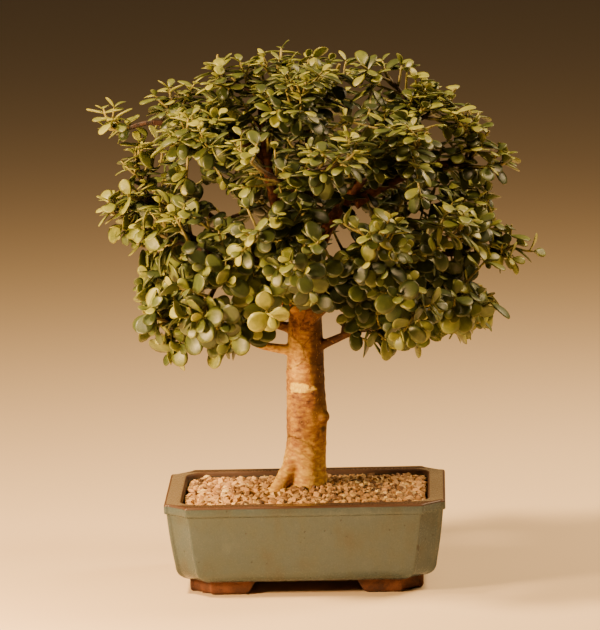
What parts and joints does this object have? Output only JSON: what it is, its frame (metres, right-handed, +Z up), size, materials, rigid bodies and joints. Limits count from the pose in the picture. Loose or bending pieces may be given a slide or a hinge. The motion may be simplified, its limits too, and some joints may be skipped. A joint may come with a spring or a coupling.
{
  "type": "potted bonsai tree",
  "caption": "Small tree with a straight stout trunk and a domed crown of round fleshy leaves, standing in gravel in a rectangular glazed pot on bracket feet.",
  "frame": {"origin": "under the middle of the whole object, on the surface that the pot's feet stand on; the pot's middle is 9 mm to the left of it", "axes": "+Z up the trunk, +X to the right along the pot's long side, +Y to the back"},
  "size_m": [0.3374, 0.2959, 0.4167],
  "materials": {
    "glaze": "satin",
    "gravel": "matte",
    "soil": "matte",
    "mesh": "matte",
    "bark": "matte",
    "leaf": "satin"
  },
  "bodies": {
    "root": {"pot": "glaze", "gravel": "gravel", "soil": "soil", "screen_left": "mesh", "screen_right": "mesh", "trunk": "bark", "spray_01": "leaf", "spray_02": "leaf", "spray_03": "leaf", "spray_04": "leaf", "spray_05": "leaf", "spray_06": "leaf", "spray_07": "leaf", "spray_08": "leaf", "spray_09": "leaf", "spray_10": "leaf", "spray_11": "leaf", "spray_12": "leaf", "spray_13": "leaf", "spray_14": "leaf", "spray_15": "leaf", "spray_16": "leaf", "spray_17": "leaf", "spray_18": "leaf", "spray_19": "leaf", "spray_20": "leaf", "spray_21": "leaf", "spray_22": "leaf", "spray_23": "leaf", "spray_24": "leaf", "spray_25": "leaf", "spray_26": "leaf", "spray_27": "leaf", "spray_28": "leaf", "spray_29": "leaf", "spray_30": "leaf", "spray_31": "leaf", "spray_32": "leaf", "spray_33": "leaf", "spray_34": "leaf", "spray_35": "leaf", "spray_36": "leaf", "spray_37": "leaf", "spray_38": "leaf", "spray_39": "leaf", "spray_40": "leaf", "spray_41": "leaf", "spray_42": "leaf", "spray_43": "leaf", "spray_44": "leaf", "spray_45": "leaf", "spray_46": "leaf", "spray_47": "leaf", "spray_48": "leaf", "spray_49": "leaf", "spray_50": "leaf", "spray_51": "leaf", "spray_52": "leaf", "spray_53": "leaf"}
  },
  "joints": []
}
